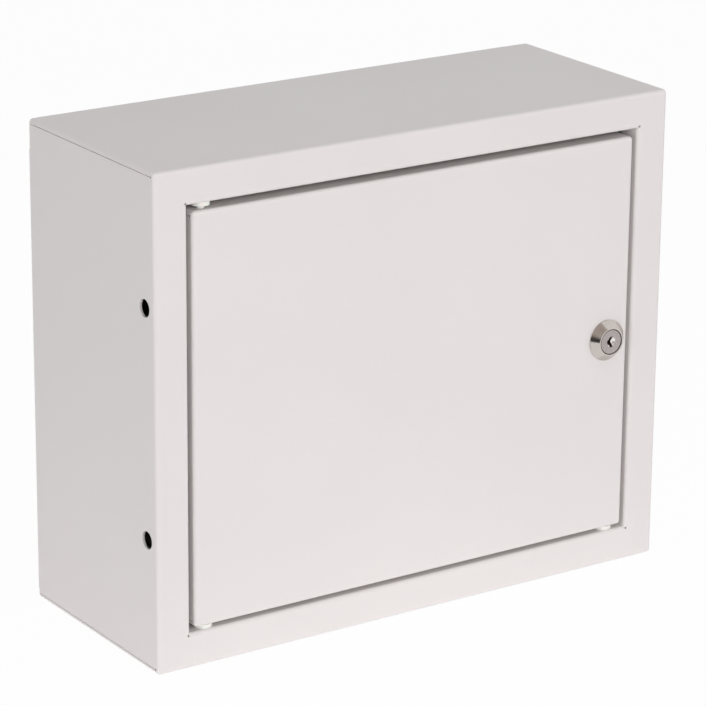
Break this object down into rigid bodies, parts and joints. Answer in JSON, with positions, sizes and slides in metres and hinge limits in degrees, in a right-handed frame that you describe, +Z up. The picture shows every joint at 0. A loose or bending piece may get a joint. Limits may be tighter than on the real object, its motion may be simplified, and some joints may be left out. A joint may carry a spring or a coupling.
{
  "type": "wall enclosure",
  "caption": "Wall enclosure folded from painted steel sheet: a flush door on nylon pivots, a cam lock and a mounting plate inside.",
  "frame": {"origin": "the centre of the wall face: the plane of the rear flanges, midway across the width and the height, and 1.2 mm, one sheet, behind the centre of the four wall fixing holes in the back panel", "axes": "+X to the right as seen from the front, along the width; +Y into the wall, so the door faces -Y; +Z up"},
  "size_m": [0.3, 0.1243, 0.25],
  "materials": {
    "grey_paint": "light grey powder coat, smooth with a fine texture, semi-matt",
    "white_nylon": "moulded nylon, natural white",
    "zinc_steel": "zinc-plated, satin",
    "nickel": "nickel-plated zinc casting, softly polished",
    "wafer_brass": "stamped, bare"
  },
  "bodies": {
    "case": {"case_shell": "grey_paint", "back_panel": "grey_paint", "upper_pivot": "white_nylon", "lower_pivot": "white_nylon", "door_glide": "white_nylon", "spare_hole_plug": "white_nylon", "plate_studs": "zinc_steel", "plate_sleeves": "zinc_steel", "mounting_plate": "zinc_steel", "plate_washers": "zinc_steel", "plate_nuts": "zinc_steel", "case_earth_stud": "zinc_steel", "case_earth_washers": "zinc_steel", "case_earth_nuts": "zinc_steel"},
    "door": {"door_leaf": "grey_paint", "door_earth_stud": "zinc_steel", "door_earth_washers": "zinc_steel", "door_earth_nut": "zinc_steel", "lock_housing": "nickel", "lock_washer": "zinc_steel", "lock_nut": "zinc_steel"},
    "lock": {"lock_plug": "nickel", "lock_wafers": "wafer_brass", "lock_stop_pin": "zinc_steel", "lock_cam": "zinc_steel", "cam_washer": "zinc_steel", "cam_screw": "zinc_steel"}
  },
  "joints": [
    {"name": "door_swing", "type": "hinge", "parent": "case", "child": "door", "pos_m": [-0.1216, -0.114, 0], "axis": [0, 0, -1], "range_deg": [0, 110]},
    {"name": "lock_turn", "type": "hinge", "parent": "door", "child": "lock", "pos_m": [0.116, -0.12, -0.0017], "axis": [0, -1, 0], "range_deg": [0, 90]}
  ]
}
